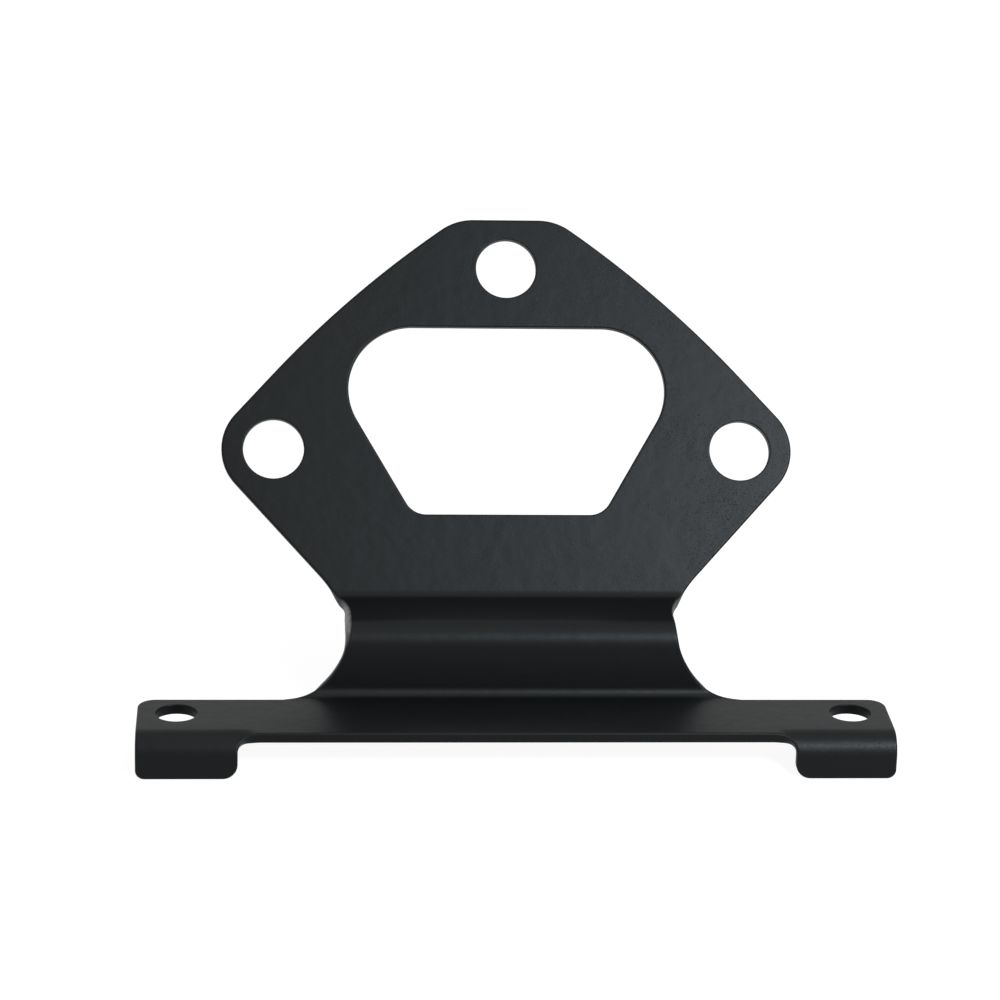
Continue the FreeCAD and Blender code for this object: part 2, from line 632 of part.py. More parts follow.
for item in doc.Objects:
    if "Invalid" in item.State or "Error" in item.State:
        raise RuntimeError("not solved: " + item.Label)
if bracket.Shape.isNull() or not bracket.Shape.isValid():
    raise RuntimeError("the bracket's shape is not valid")
print("cutters", len(cutters), "corners", len(corners), "solids", len(bracket.Shape.Solids))
box = bracket.Shape.BoundBox
print("box", round(box.XLength, 3), round(box.YLength, 3), round(box.ZLength, 3))
print("volume", round(bracket.Shape.Volume, 1))

os.makedirs("parts", exist_ok=True)
bracket.Shape.exportStep("parts/headlamp_bracket.step")
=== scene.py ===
import bpy
import math
import numpy as np
from mathutils import Matrix, Vector
from mathutils.geometry import delaunay_2d_cdt


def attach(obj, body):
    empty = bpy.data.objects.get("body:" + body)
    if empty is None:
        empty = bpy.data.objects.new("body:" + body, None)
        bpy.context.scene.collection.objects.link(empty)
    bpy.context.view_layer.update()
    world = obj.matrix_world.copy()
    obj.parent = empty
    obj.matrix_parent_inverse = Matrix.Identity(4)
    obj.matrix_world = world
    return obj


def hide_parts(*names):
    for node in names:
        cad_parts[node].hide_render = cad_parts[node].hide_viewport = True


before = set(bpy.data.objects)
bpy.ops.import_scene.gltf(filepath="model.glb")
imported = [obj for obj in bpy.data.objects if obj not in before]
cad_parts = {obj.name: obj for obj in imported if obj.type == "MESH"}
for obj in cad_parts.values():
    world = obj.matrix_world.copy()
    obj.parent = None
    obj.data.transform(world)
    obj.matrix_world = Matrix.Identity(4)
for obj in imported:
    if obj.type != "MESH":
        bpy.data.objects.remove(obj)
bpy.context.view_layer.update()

mm = 0.001

# The bracket's own sizes, in mm and degrees. Places on the flat blank run up from the ears' back
# line, and heights on the plate run up its face from the ledge's corner.
bracket = {
    "thickness": 2.1,           # steel with its coat
    "bendInside": 2.5,
    "stepInside": 1.9,          # the step's foot is pressed tighter than the other bends
    "stepTurn": 86.0,           # a little less than square, so that the web leans back
    "overallWidth": 150.0,
    "shelfFront": 10.2,         # from the ear holes forward to the shelf's front edge
    "shelfBack": 6.9,           # and back to the ears' back line
    "earHoleSpacing": 134.4,
    "earHole": 8.25,
    "earCorner": 3.5,
    "tabFace": 12.4,            # from the ear holes forward to the tabs' faces
    "tabWidth": 20.0,
    "tabDrop": 8.9,
    "tabOuterCorner": 1.8,
    "tabInnerCorner": 3.0,
    "notch": 2.3,               # radius of the relief beside each tab
    "fade": 4.5,                # how far a tab's fold runs on into the shelf beside it
    "ledgeHeight": 14.4,
    "plateSetback": 17.3,
    "plateLean": 30.0,
    "waist": 65.6,
    "flare": 18.8,              # radius from the waist out to the shelf
    "flareLevel": 18.0,
    "throat": 22.5,             # radius from the waist out to the plate
    "plateHeight": 79.4,
    "sideHoleSpacing": 96.4,
    "sideHoleHeight": 30.6,
    "topHoleHeight": 69.0,
    "plateHole": 12.5,
    "lobe": 10.7,               # radius round the side holes
    "sideSlope": 42.3,
    "shoulderStart": 46.1,
    "shoulder": 220.0,          # radius of the bowed upper sides
    "topCorner": 11.5,
    "windowFoot": 17.0,
    "windowHead": 56.5,
    "windowWidth": 65.6,
    "windowShoulder": 13.2,
    "windowSlope": 30.2,
    "windowFootCorner": 4.8,
    "edgeRound": 0.38,          # the outer cut edge under its coat
    "windowRound": 0.30,
    "holeRound": 0.20,          # drilled edges stay crisper
    "leftSwell": 1.00,          # how far the sheet's back swells past the waist's cut edge
    "rightSwell": 0.15,
    "swellPlace": 1.85,         # the swelling's middle past the web's bend line, in bend radii
    "swellCore": 0.5,           # full this far to both sides, in bend radii
    "swellReach": 2.6,          # and gone this far
    "swellDepth": 3.0,          # how far in from the cut edge it begins
    "gleamIn": 3.0,               # the light grey painted on the left waist's cut edge, a painted reflection of the white surroundings, comes in over this length past the web's bend line
    "gleamOut": 4.0,              # and goes out over this length before the plate's bend line
    # fineness of the mesh
    "outlineStep": 0.6,         # between points along the cut edges
    "cornerStep": 0.3,
    "holeStep": 0.42,
    "bendStep": 0.3,            # between rows across a bend
    "stepBendStep": 0.21,
    "tabStep": 1.2,
    "flatStep": 2.4,
    "columnStep": 2.5,
    "fadeStep": 0.45,           # between columns beside and into each tab
    "fadeBeside": 0.5,
    "fadeInto": 4.1,
    "fadeAbove": 2.0,
    "rimStrip": 0.22,           # flat strip inside the rounded edge
    "rimZigzag": 0.03,          # keeps three rim points off one line, so that no face is a sliver
    "rimGap": 0.42,             # free space between the rim and the points inside
    "leastFace": 0.002,         # square mm, below which a triangle lies along a straight edge, off the sheet
}


def toLinear(code):
    # sRGB hex to the linear colour that a socket takes
    parts = [int(code[i:i + 2], 16) / 255 for i in (1, 3, 5)]
    return tuple([p / 12.92 if p <= 0.04045 else ((p + 0.055) / 1.055) ** 2.4 for p in parts]) + (1.0,)


def addNode(tree, kind, inputs=None, **settings):
    # makes one node; an input takes a value, an output socket, or a node for its first output
    node = tree.nodes.new(kind)
    for name, value in settings.items():
        setattr(node, name, value)
    for key, value in (inputs or {}).items():
        if isinstance(value, bpy.types.Node):
            value = value.outputs[0]
        if isinstance(value, bpy.types.NodeSocket):
            tree.links.new(value, node.inputs[key])
        else:
            node.inputs[key].default_value = value
    return node


def arcPoints(centre, radius, start, end, step):
    # points on an arc from one angle to the other, in degrees, either way round
    leastCount = 4
    count = max(leastCount, int(math.ceil(abs(math.radians(end - start)) * radius / step)))
    angles = [math.radians(start + (end - start) * i / count) for i in range(count + 1)]
    return [(centre[0] + radius * math.cos(a), centre[1] + radius * math.sin(a)) for a in angles]


def spread(points, step):
    # adds points along the straight runs of a closed loop, so that every run is short
    samePoint = 1e-6
    loop = []
    for i, a in enumerate(points):
        b = points[(i + 1) % len(points)]
        length = math.dist(a, b)
        if length < samePoint:
            continue
        count = max(1, int(math.ceil(length / step)))
        loop += [(a[0] + (b[0] - a[0]) * k / count, a[1] + (b[1] - a[1]) * k / count) for k in range(count)]
    return np.array(loop)


def bendMarks(b):
    # where the bends lie on the flat blank, reckoned along the middle of its thickness
    thickness, inside = b["thickness"], b["bendInside"]
    outside, middle = inside + thickness, inside + thickness / 2
    turn = math.pi / 2 - math.radians(b["plateLean"])
    run = inside * math.tan(turn / 2)
    stepMiddle, stepTurn = b["stepInside"] + thickness / 2, math.radians(b["stepTurn"])
    both = stepMiddle + middle
    webFlat = (b["ledgeHeight"] - both * (1 - math.cos(stepTurn))) / math.sin(stepTurn)
    stepLine = 2 * middle - both * math.sin(stepTurn) - webFlat * math.cos(stepTurn)
    stepEnd = stepLine + stepMiddle * stepTurn
    webLine = stepEnd + webFlat
    webEnd = webLine + middle * stepTurn
    ledgeLine = webEnd + b["plateSetback"] - outside - run
    plateLine = ledgeLine + middle * turn
    tabLine = -b["tabFace"] + outside - b["shelfBack"]
    tabFlat = tabLine - middle * math.pi / 2
    return {"middle": middle, "turn": turn, "stepMiddle": stepMiddle, "stepTurn": stepTurn, "stepLine": stepLine,
            "stepEnd": stepEnd, "webLine": webLine, "webEnd": webEnd, "ledgeLine": ledgeLine,
            "plateLine": plateLine, "plateFoot": plateLine - run, "tabLine": tabLine, "tabFlat": tabFlat,
            "tabEnd": tabFlat - (b["tabDrop"] - outside)}


def outlineLoop(b, marks):
    # the outer cut edge: its right half from the middle of the front, then the same mirrored
    step, cornerStep = b["outlineStep"], b["cornerStep"]
    half, waist = b["overallWidth"] / 2, b["waist"] / 2
    tabIn, tabEnd = half - b["tabWidth"], marks["tabEnd"]
    front = -b["shelfFront"] - b["shelfBack"]
    slopeAngle, lobe, throat = b["sideSlope"], b["lobe"], b["throat"]
    slope = math.radians(slopeAngle)
    holeX, holeHeight = b["sideHoleSpacing"] / 2, b["sideHoleHeight"]
    touchX = holeX + lobe * math.cos(slope)     # where the lobe runs into its straight sides
    lowTouch, highTouch = holeHeight - lobe * math.sin(slope), holeHeight + lobe * math.sin(slope)
    throatCorner = marks["plateFoot"] + lowTouch - (touchX - waist) / math.tan(slope)
    throatLevel = throatCorner - throat * math.tan(slope / 2)
    bow, cap = b["shoulder"], b["topCorner"]
    shoulderX = touchX - (b["shoulderStart"] - highTouch) * math.tan(slope)
    bowX, bowHeight = shoulderX - bow * math.cos(slope), b["shoulderStart"] - bow * math.sin(slope)
    capHeight = b["plateHeight"] - cap
    capX = bowX + math.sqrt((bow - cap) ** 2 - (capHeight - bowHeight) ** 2)
    capAngle = math.degrees(math.atan2(capHeight - bowHeight, capX - bowX))
    flare, flareLevel = b["flare"], b["flareLevel"]
    flareAngle = math.degrees(math.asin(flareLevel / flare))
    notch, inner, outer, ear = b["notch"], b["tabInnerCorner"], b["tabOuterCorner"], b["earCorner"]
    right = [(0.0, front)]
    right += arcPoints((tabIn - notch, front - notch), notch, 90, 0, cornerStep)
    right += arcPoints((tabIn + inner, tabEnd + inner), inner, 180, 270, cornerStep)
    right += arcPoints((half - outer, tabEnd + outer), outer, 270, 360, cornerStep)
    right += arcPoints((half - ear, -ear), ear, 0, 90, cornerStep)
    right += arcPoints((waist + flare, flareLevel), flare, 180 + flareAngle, 180, step)
    right += arcPoints((waist + throat, throatLevel), throat, 180, 180 - slopeAngle, step)
    face = arcPoints((holeX, holeHeight), lobe, -slopeAngle, slopeAngle, step)
    face += arcPoints((bowX, bowHeight), bow, slopeAngle, capAngle, step * 2)
    face += arcPoints((capX, capHeight), cap, capAngle, 90, step)
    right += [(x, marks["plateFoot"] + height) for x, height in face]
    left = [(-x, y) for x, y in right[1:]][::-1]
    return spread(right + left, step)


def windowLoop(b, marks):
    # the window's cut edge: small feet, leaning jambs and big shoulders
    shoulder, foot, jambAngle = b["windowShoulder"], b["windowFootCorner"], b["windowSlope"]
    jamb = math.radians(jambAngle)
    shoulderX, shoulderHeight = b["windowWidth"] / 2 - shoulder, b["windowHead"] - shoulder
    jambTop = (shoulderX + shoulder * math.cos(jamb), shoulderHeight - shoulder * math.sin(jamb))
    footHeight = b["windowFoot"] + foot
    footX = jambTop[0] - (jambTop[1] - footHeight) * math.tan(jamb) - foot / math.cos(jamb)
    pane = arcPoints((footX, footHeight), foot, 270, 360 - jambAngle, b["cornerStep"])
    pane += arcPoints((shoulderX, shoulderHeight), shoulder, -jambAngle, 90, b["outlineStep"])
    pane += [(-x, height) for x, height in pane[::-1]]
    return spread([(x, marks["plateFoot"] + height) for x, height in pane], b["outlineStep"])


def holeLoops(b, marks):
    # the three holes in the plate and the two in the ears
    foot, side, ear = marks["plateFoot"], b["sideHoleSpacing"] / 2, b["earHoleSpacing"] / 2
    plateHoles = ((0, b["topHoleHeight"]), (-side, b["sideHoleHeight"]), (side, b["sideHoleHeight"]))
    holes = [(x, foot + height, b["plateHole"]) for x, height in plateHoles]
    holes += [(x, -b["shelfBack"], b["earHole"]) for x in (-ear, ear)]
    return [spread(arcPoints((x, y), size / 2, 0, 360, b["holeStep"])[:-1], b["outlineStep"])
            for x, y, size in holes]


def insetLoop(loop, distance):
    # moves a closed loop to the left of its way round by the distance
    along = np.roll(loop, -1, 0) - np.roll(loop, 1, 0)
    along /= np.linalg.norm(along, axis=1)[:, None]
    return loop + np.stack([-along[:, 1], along[:, 0]], 1) * distance


def insideLoop(points, loop):
    # which points lie inside a closed loop
    inside = np.zeros(len(points), bool)
    x, y = points[:, 0], points[:, 1]
    for a, c in zip(loop, np.roll(loop, -1, 0)):
        crosses = (a[1] > y) != (c[1] > y)
        if crosses.any():
            inside ^= crosses & (x < (c[0] - a[0]) * (y - a[1]) / (c[1] - a[1]) + a[0])
    return inside


def nearLoop(points, loop, distance):
    # which points lie nearer than the distance to a loop's points, taken in blocks to save memory
    block = 64
    near = np.zeros(len(points), bool)
    for start in range(0, len(loop), block):
        gap = np.linalg.norm(points[:, None, :] - loop[None, start:start + block, :], axis=2)
        near |= (gap < distance).any(1)
    return near


def fillPoints(b, marks):
    # rows close together across each bend, wide apart on the flats, fine where the tab folds fade out
    half = b["overallWidth"] / 2
    rows = []
    for low, high, step in (("tabEnd", "tabFlat", "tabStep"), ("tabFlat", "tabLine", "bendStep"),
                            ("tabLine", "earLine", "flatStep"), ("stepLine", "stepEnd", "stepBendStep"),
                            ("stepEnd", "webLine", "flatStep"), ("webLine", "webEnd", "bendStep"),
                            ("webEnd", "ledgeLine", "flatStep"), ("ledgeLine", "plateLine", "bendStep"),
                            ("plateLine", "plateTop", "flatStep")):
        places = {"earLine": 0.0, "plateTop": marks["plateFoot"] + b["plateHeight"], **marks}
        start, end = places[low], places[high]
        count = max(1, int(round((end - start) / b[step])))
        rows += [start + (end - start) * i / count for i in range(count + 1)]
    rows = np.array(sorted(set(np.round(rows, 4))))
    columns = np.arange(-half, half + b["columnStep"] / 2, b["columnStep"])
    tabIn = half - b["tabWidth"]
    beside = np.arange(tabIn - b["fade"] - b["fadeBeside"], tabIn + b["fadeInto"], b["fadeStep"])
    grid = [np.array([(x, y) for x in columns]) for y in rows]
    for y in rows[(rows < marks["tabLine"] + b["fadeAbove"]) & (rows > marks["tabEnd"])]:
        grid.append(np.array([(sign * x, y) for x in beside for sign in (1, -1)]))
    return np.unique(np.round(np.concatenate(grid), 3), axis=0)


def addCutEdge(b, marks, loop, outer, rounding, verts, paintedGleam, faces):
    # rings of points round one cut edge: flat strip, rounded edge, wall, rounded edge, flat strip
    z = b["thickness"] / 2
    base, count = len(verts), len(loop)
    roundAngles = [math.radians(angle) for angle in (0, 22.5, 45, 67.5, 90)]
    profile = [(rounding * (1 - math.sin(a)), z - rounding * (1 - math.cos(a))) for a in roundAngles]
    profile += [(inset, -height) for inset, height in reversed(profile)]
    rimInset = rounding + b["rimStrip"]
    zigzag = np.where(np.arange(count) % 2, b["rimZigzag"], 0.0)[:, None]
    rings = [(rimInset + zigzag, z)] + profile + [(rimInset + zigzag, -z)]
    # a light grey painted reflection of the white surroundings goes on the left waist's cut edge between the web's and
    # the plate's bend lines: full on the cut wall, fading over its rounded edges
    gleamAmount = np.interp(loop[:, 1], [marks["webLine"], marks["webLine"] + b["gleamIn"],
                                 marks["ledgeLine"] - b["gleamOut"], marks["ledgeLine"]], [0, 1, 1, 0])
    gleamAmount *= (loop[:, 0] < 0) * outer     # only the outline's left side takes the painted reflection
    for inset, height in rings:
        verts += [(x, y, height) for x, y in insetLoop(loop, inset if outer else -inset)]
        paintedGleam += list(gleamAmount * max(0.0, 1 - np.min(inset) / rounding))
    for ring in range(len(rings) - 1):
        near, far = base + ring * count, base + (ring + 1) * count
        for i in range(count):
            j = (i + 1) % count
            quad = (near + i, far + i, far + j, near + j)
            faces.append(quad if outer else quad[::-1])
    return base, near + count, count


def makeBlank(b, marks):
    # the flat sheet as a closed mesh with rounded cut edges; z runs through its thickness
    z = b["thickness"] / 2
    verts, faces, paintedGleam = [], [], []
    holes = holeLoops(b, marks)
    cuts = [(outlineLoop(b, marks), b["edgeRound"]), (windowLoop(b, marks), b["windowRound"])]
    cuts += [(loop, b["holeRound"]) for loop in holes]
    rims, points, edges, owner = [], [], [], []
    for number, (loop, rounding) in enumerate(cuts):
        top, low, count = addCutEdge(b, marks, loop, number == 0, rounding, verts, paintedGleam, faces)
        rims.append(np.array(verts[top:top + count])[:, :2])
        first = len(points)
        points += [Vector(p) for p in rims[-1]]
        owner += [(top + i, low + i) for i in range(count)]
        edges += [(first + i, first + (i + 1) % count) for i in range(count)]
    cloud = fillPoints(b, marks)
    keep = insideLoop(cloud, rims[0])
    for rim in rims[1:]:
        keep &= ~insideLoop(cloud, rim)
    cloud = cloud[keep]
    keep = np.ones(len(cloud), bool)
    for rim in rims:
        keep &= ~nearLoop(cloud, rim, b["rimGap"])
    for x, y in cloud[keep]:
        owner.append((len(verts), len(verts) + 1))
        verts += [(x, y, z), (x, y, -z)]
        paintedGleam += [0.0, 0.0]
        points.append(Vector((x, y)))
    # both faces of the sheet take the same triangles, the back's the other way round
    samePoint = 1e-7
    places, _, triangles, origins = delaunay_2d_cdt(points, edges, [], 0, samePoint, True)[:4]
    source = [ids[0] if ids else -1 for ids in origins]
    corners = np.array([tuple(p) for p in places])[np.array(triangles)]
    one, two = corners[:, 1] - corners[:, 0], corners[:, 2] - corners[:, 0]
    area = (one[:, 0] * two[:, 1] - one[:, 1] * two[:, 0]) / 2
    centres = corners.mean(1)
    good = insideLoop(centres, rims[0]) & (np.abs(area) > b["leastFace"])
    for rim in rims[1:]:
        good &= ~insideLoop(centres, rim)
    for ok, size, triangle in zip(good, area, triangles):
        ids = [source[i] for i in triangle]
        if not ok or -1 in ids:
            continue
        if size < 0:
            ids = ids[::-1]
        faces.append(tuple(owner[i][0] for i in ids))
        faces.append(tuple(owner[i][1] for i in reversed(ids)))
    mesh = bpy.data.meshes.new("foldedBracket")
    mesh.from_pydata([tuple(c * mm for c in v) for v in verts], [], faces)
    mesh.attributes.new("paintedGleam", "FLOAT", "POINT").data.foreach_set("value", np.array(paintedGleam, np.float32))
    mesh.validate()
    mesh.update()
    return mesh


def addSockets(tree, kind, way, names):
    # adds a tree's sockets and returns their identifiers by name
    return {name: tree.interface.new_socket(name=name, in_out=way, socket_type=kind).identifier for name in names}


def foldOnceGroup():
    # turns everything past one line about the x axis, round a bend of the given middle radius
    tree = bpy.data.node_groups.new("foldOnce", "GeometryNodeTree")
    addSockets(tree, "NodeSocketVector", "INPUT", ["Position"])
    addSockets(tree, "NodeSocketFloat", "INPUT", ["Past", "Line", "Heading", "Turn", "Angle", "Radius"])
    addSockets(tree, "NodeSocketVector", "OUTPUT", ["Position"])
    given = addNode(tree, "NodeGroupInput").outputs
    line, heading, turn, radius = [given[name] for name in ("Line", "Heading", "Turn", "Radius")]
    raw = addNode(tree, "ShaderNodeMath", {0: given["Past"], 1: radius}, operation="DIVIDE")
    raw = addNode(tree, "ShaderNodeMath", {0: raw, 1: 0.0}, operation="MAXIMUM")
    angle = addNode(tree, "ShaderNodeMath", {0: raw, 1: given["Angle"]}, operation="MINIMUM")
    # the foot is the place on the flat blank that the point rides on
    ahead = addNode(tree, "ShaderNodeMath", {0: radius, 1: heading}, operation="MULTIPLY")
    footAlong = addNode(tree, "ShaderNodeMath", {0: angle, 1: ahead, 2: line}, operation="MULTIPLY_ADD")
    foot = addNode(tree, "ShaderNodeCombineXYZ", {"Y": footAlong})
    away = addNode(tree, "ShaderNodeVectorMath", {0: given["Position"], 1: foot}, operation="SUBTRACT")
    way = addNode(tree, "ShaderNodeMath", {0: heading, 1: turn}, operation="MULTIPLY")
    spin = addNode(tree, "ShaderNodeMath", {0: angle, 1: way}, operation="MULTIPLY")
    turned = addNode(tree, "ShaderNodeVectorRotate", {"Vector": away, "Angle": spin}, rotation_type="X_AXIS")
    # and this is where that foot lies on the bend
    sine = addNode(tree, "ShaderNodeMath", {0: angle}, operation="SINE")
    placeAlong = addNode(tree, "ShaderNodeMath", {0: sine, 1: ahead, 2: line}, operation="MULTIPLY_ADD")
    cosine = addNode(tree, "ShaderNodeMath", {0: angle}, operation="COSINE")
    drop = addNode(tree, "ShaderNodeMath", {0: 1.0, 1: cosine}, operation="SUBTRACT")
    height = addNode(tree, "ShaderNodeMath", {0: radius, 1: turn}, operation="MULTIPLY")
    rise = addNode(tree, "ShaderNodeMath", {0: drop, 1: height}, operation="MULTIPLY")
    place = addNode(tree, "ShaderNodeCombineXYZ", {"Y": placeAlong, "Z": rise})
    total = addNode(tree, "ShaderNodeVectorMath", {0: turned, 1: place}, operation="ADD")
    addNode(tree, "NodeGroupOutput", {0: total})
    return tree


def foldTree(material, sizes):
    # four folds, the plate's first and the tabs' last, then the blank is set where the ears sit
    tree = bpy.data.node_groups.new("foldBlank", "GeometryNodeTree")
    addSockets(tree, "NodeSocketGeometry", "INPUT", ["Geometry"])
    ids = addSockets(tree, "NodeSocketFloat", "INPUT", sizes)
    addSockets(tree, "NodeSocketGeometry", "OUTPUT", ["Geometry"])
    given = addNode(tree, "NodeGroupInput").outputs
    radius = given["Middle Radius"]
    once = foldOnceGroup()
    position = addNode(tree, "GeometryNodeInputPosition")
    across, along, through = addNode(tree, "ShaderNodeSeparateXYZ", {0: position}).outputs
    side = addNode(tree, "ShaderNodeMath", {0: across}, operation="ABSOLUTE")

    def fold(where, line, heading, turn, angle, bendRadius):
        past = addNode(tree, "ShaderNodeMath", {0: along, 1: line}, operation="SUBTRACT")
        past = addNode(tree, "ShaderNodeMath", {0: past, 1: heading}, operation="MULTIPLY")
        return addNode(tree, "GeometryNodeGroup", {
            "Position": where, "Past": past, "Line": line, "Heading": heading, "Turn": turn, "Angle": angle,
            "Radius": bendRadius}, node_tree=once)

    # the tight bend squeezes the sheet's back, which swells out past the waist's cut edges
    fromSwell = addNode(tree, "ShaderNodeMath", {0: along, 1: given["Swell Line"]}, operation="SUBTRACT")
    fromSwell = addNode(tree, "ShaderNodeMath", {0: fromSwell}, operation="ABSOLUTE")
    nearBend = addNode(tree, "ShaderNodeMapRange", {
        "Value": fromSwell, "From Min": given["Swell Core"], "From Max": given["Swell Reach"],
        "To Min": 1.0, "To Max": 0.0}, interpolation_type="SMOOTHSTEP")
    nearEdge = addNode(tree, "ShaderNodeMapRange", {
        "Value": side, "From Min": given["Swell Start"], "From Max": given["Waist"]},
        interpolation_type="SMOOTHSTEP")
    layer = addNode(tree, "ShaderNodeMath", {0: through, 1: given["Thickness"]}, operation="DIVIDE")
    depth = addNode(tree, "ShaderNodeMath", {0: 0.5, 1: layer}, operation="SUBTRACT")
    rest = addNode(tree, "ShaderNodeMath", {0: 2.0, 1: depth}, operation="SUBTRACT")
    rounded = addNode(tree, "ShaderNodeMath", {0: depth, 1: rest}, operation="MULTIPLY")
    onRight = addNode(tree, "FunctionNodeCompare", {0: across, 1: 0.0}, operation="GREATER_THAN")
    most = addNode(tree, "GeometryNodeSwitch", {
        "Switch": onRight, "False": given["Left Swell"], "True": given["Right Swell"]}, input_type="FLOAT")
    shape = addNode(tree, "ShaderNodeMath", {0: nearBend, 1: nearEdge}, operation="MULTIPLY")
    swell = addNode(tree, "ShaderNodeMath", {0: rounded, 1: most}, operation="MULTIPLY")
    swell = addNode(tree, "ShaderNodeMath", {0: shape, 1: swell}, operation="MULTIPLY")
    outward = addNode(tree, "ShaderNodeMath", {0: across}, operation="SIGN")
    sideways = addNode(tree, "ShaderNodeMath", {0: swell, 1: outward}, operation="MULTIPLY")
    shift = addNode(tree, "ShaderNodeCombineXYZ", {"X": sideways})
    where = addNode(tree, "ShaderNodeVectorMath", {0: position, 1: shift}, operation="ADD")
    where = fold(where, given["Ledge Line"], 1.0, 1.0, given["Plate Turn"], radius)
    where = fold(where, given["Web Line"], 1.0, -1.0, given["Step Turn"], radius)
    where = fold(where, given["Step Line"], 1.0, 1.0, given["Step Turn"], given["Step Radius"])
    # beside a tab the fold has only partly formed: its radius grows until the shelf is flat
    share = addNode(tree, "ShaderNodeMapRange", {
        "Value": side, "From Min": given["Fade Start"], "From Max": given["Tab Inside"]},
        interpolation_type="SMOOTHSTEP")
    leastShare = 0.004
    share = addNode(tree, "ShaderNodeMath", {0: share, 1: leastShare}, operation="MAXIMUM")
    softer = addNode(tree, "ShaderNodeMath", {0: radius, 1: share}, operation="DIVIDE")
    where = fold(where, given["Tab Line"], -1.0, -1.0, math.pi / 2, softer)
    seat = addNode(tree, "ShaderNodeCombineXYZ", {"Y": given["Back Line"], "Z": given["Level"]})
    where = addNode(tree, "ShaderNodeVectorMath", {0: where, 1: seat}, operation="ADD")
    moved = addNode(tree, "GeometryNodeSetPosition", {"Geometry": given["Geometry"], "Position": where})
    smooth = addNode(tree, "GeometryNodeSetShadeSmooth", {"Geometry": moved, "Shade Smooth": True})
    real = addNode(tree, "GeometryNodeRealizeInstances", {"Geometry": smooth})
    dressed = addNode(tree, "GeometryNodeSetMaterial", {"Geometry": real, "Material": material})
    addNode(tree, "NodeGroupOutput", {0: dressed})
    return tree, ids


powder = {
    "coat": "#060809",          # the pigment itself, near black and a little cool
    "steel": "#b4b4b2",         # light grey painted on the left waist's swollen cut edge: a painted reflection of the white surroundings
    "gleamMost": 0.60,             # how much of it shows there at most
    "gleamBlotchSize": 1.1,             # mm
    "roughness": 0.42,
    "specular": 0.15,
    "waveSize": 4.0,            # slow unevenness of the sprayed coat in mm
    "waveHeight": 0.07,
    "waveDetail": 1.0,
    "peelSize": 1.1,            # orange-peel cell in mm
    "peelHeight": 0.012,
    "peelDetail": 1.0,
    "grainSize": 0.34,          # powder grains in mm, drawn coarser than the real ones so that they show
    "grainHeight": 0.017,
    "grainDetail": 2.0,
    "grainFrom": 0.57,          # only the peaks of the noise stand up as grains
    "grainTo": 0.80,
    "patchSize": 12.0,          # the grains stand out more in patches of about this many mm
    "patchLeast": 0.6,
    "patchMost": 1.2,
    "grainLeft": 0.45,          # and less on the bracket's left side than on its right
    "grainRight": 1.8,
    "leftEnd": -45.0,
    "rightEnd": 40.0,
}


def powderCoat(p):
    # Polyester powder coat, sprayed and baked on blasted steel: black, semi-gloss, with the fine
    # orange peel of powder that has flowed, and a few coarser grains. Highlights are soft and broken.
    material = bpy.data.materials.new("blackPowderCoat")
    material.use_nodes = True
    tree = material.node_tree
    tree.nodes.clear()
    where = addNode(tree, "ShaderNodeTexCoord").outputs["Object"]
    patches = addNode(tree, "ShaderNodeTexNoise", {"Vector": where, "Scale": 1 / (p["patchSize"] * mm), "Detail": 3.0})
    patchShare = addNode(tree, "ShaderNodeMapRange", {
        "Value": patches, "From Min": 0.38, "From Max": 0.62, "To Min": p["patchLeast"], "To Max": p["patchMost"]})
    across = addNode(tree, "ShaderNodeSeparateXYZ", {0: where}).outputs["X"]
    sideShare = addNode(tree, "ShaderNodeMapRange", {
        "Value": across, "From Min": p["leftEnd"] * mm, "From Max": p["rightEnd"] * mm,
        "To Min": p["grainLeft"], "To Max": p["grainRight"]})
    strength = addNode(tree, "ShaderNodeMath", {0: patchShare, 1: sideShare}, operation="MULTIPLY")
    normal = None
    for name in ("wave", "peel", "grain"):
        height = addNode(tree, "ShaderNodeTexNoise", {
            "Vector": where, "Scale": 1 / (p[name + "Size"] * mm), "Detail": p[name + "Detail"], "Roughness": 0.6})
        if name == "grain":
            grains = addNode(tree, "ShaderNodeMapRange", {
                "Value": height, "From Min": p["grainFrom"], "From Max": p["grainTo"]})
            height = addNode(tree, "ShaderNodeMath", {0: grains, 1: strength}, operation="MULTIPLY")
        bump = addNode(tree, "ShaderNodeBump", {
            "Height": height, "Strength": 1.0, "Distance": p[name + "Height"] * mm})
        if normal is not None:
            tree.links.new(normal, bump.inputs["Normal"])
        normal = bump.outputs[0]
    # the light grey painted on the left waist's cut edge, broken into blotches: a painted reflection of the white
    # surroundings mixed into the coat's colour
    gleamBlotches = addNode(tree, "ShaderNodeTexNoise", {"Vector": where, "Scale": 1 / (p["gleamBlotchSize"] * mm), "Detail": 2.0})
    gleamAmount = addNode(tree, "ShaderNodeMapRange", {
        "Value": gleamBlotches, "From Min": 0.3, "From Max": 0.7, "To Min": p["gleamMost"] / 2, "To Max": p["gleamMost"]})
    paintedGleam = addNode(tree, "ShaderNodeAttribute", attribute_name="paintedGleam").outputs["Fac"]
    gleamShare = addNode(tree, "ShaderNodeMath", {0: paintedGleam, 1: gleamAmount}, operation="MULTIPLY")
    colour = addNode(tree, "ShaderNodeMix", {
        0: gleamShare, 6: toLinear(p["coat"]), 7: toLinear(p["steel"])}, data_type="RGBA").outputs[2]
    shader = addNode(tree, "ShaderNodeBsdfPrincipled", {
        "Base Color": colour, "Roughness": p["roughness"], "Specular IOR Level": p["specular"],
        "IOR": 1.5, "Normal": normal})
    addNode(tree, "ShaderNodeOutputMaterial", {"Surface": shader})
    return material


coat = powderCoat(powder)
print("powder coat ready")
marks = bendMarks(bracket)
blankMesh = makeBlank(bracket, marks)
print("blank", len(blankMesh.vertices), "points", len(blankMesh.polygons), "faces")

